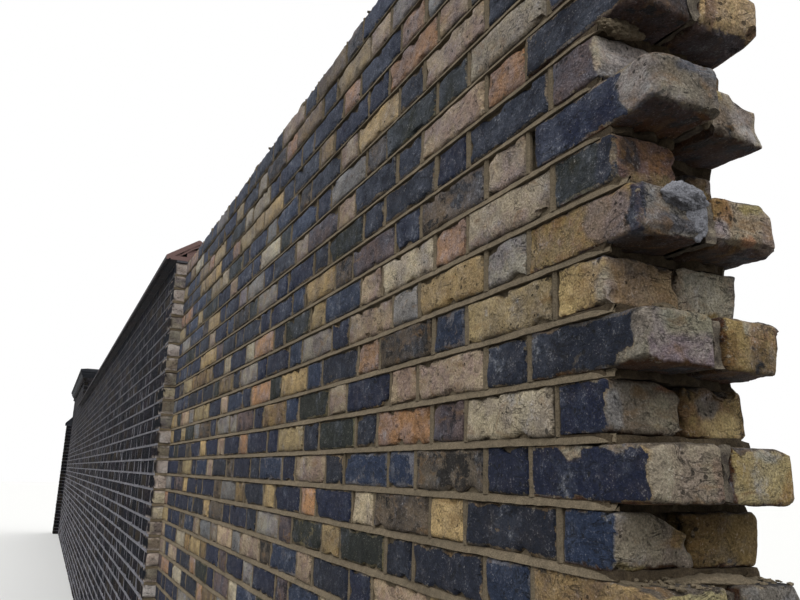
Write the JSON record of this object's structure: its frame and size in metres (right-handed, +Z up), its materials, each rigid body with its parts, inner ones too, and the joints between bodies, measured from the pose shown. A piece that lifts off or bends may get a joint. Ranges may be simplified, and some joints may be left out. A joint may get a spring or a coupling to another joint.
{
  "type": "toothed brick garden wall",
  "caption": "Street garden wall in stock brick: a new length left toothed at its end, an older coped length, and a taller capped length with a buttress.",
  "frame": {"origin": "the middle of the underside of the whole wall", "axes": "+X along the wall towards its toothed end, -Y to the street, +Z up"},
  "size_m": [19.679, 0.571, 3.37],
  "materials": {
    "new_brickwork": "handmade yellow and blue-black stock bricks with struck buff mortar, matte",
    "tooth_bricks": "blue-black, plum and yellow stocks with worn arrises and mortar stains, matte",
    "old_brickwork": "sooted stock bricks with weathered ruled joints, matte",
    "mortar": "buff sand mortar, rough",
    "clay_coping": "fired red-brown clay, weathered dark, matte",
    "cap_stone": "dark weathered stone, matte"
  },
  "bodies": {
    "root": {"new_wall": "new_brickwork", "front_bats": "tooth_bricks", "rear_bats": "tooth_bricks", "tooth_course_01": "tooth_bricks", "tooth_course_02": "tooth_bricks", "tooth_course_03": "tooth_bricks", "tooth_course_04": "tooth_bricks", "tooth_course_05": "tooth_bricks", "tooth_course_06": "tooth_bricks", "tooth_course_07": "tooth_bricks", "tooth_course_08": "tooth_bricks", "tooth_course_09": "tooth_bricks", "tooth_course_10": "tooth_bricks", "tooth_course_11": "tooth_bricks", "tooth_course_12": "tooth_bricks", "tooth_course_13": "tooth_bricks", "tooth_course_14": "tooth_bricks", "tooth_course_15": "tooth_bricks", "tooth_course_16": "tooth_bricks", "tooth_course_17": "tooth_bricks", "tooth_course_18": "tooth_bricks", "old_wall": "old_brickwork", "coping_bed": "mortar", "coping_near_end": "clay_coping", "coping_stretch_1": "clay_coping", "coping_stretch_2": "clay_coping", "coping_stretch_3": "clay_coping", "coping_stretch_4": "clay_coping", "coping_joints": "mortar", "raised_wall": "old_brickwork", "raised_beds": "mortar", "oversailing_course": "old_brickwork", "lower_cap_stones": "cap_stone", "upper_cap_stones": "cap_stone", "buttress": "old_brickwork", "buttress_bed": "mortar", "buttress_weathering": "cap_stone"}
  },
  "joints": []
}
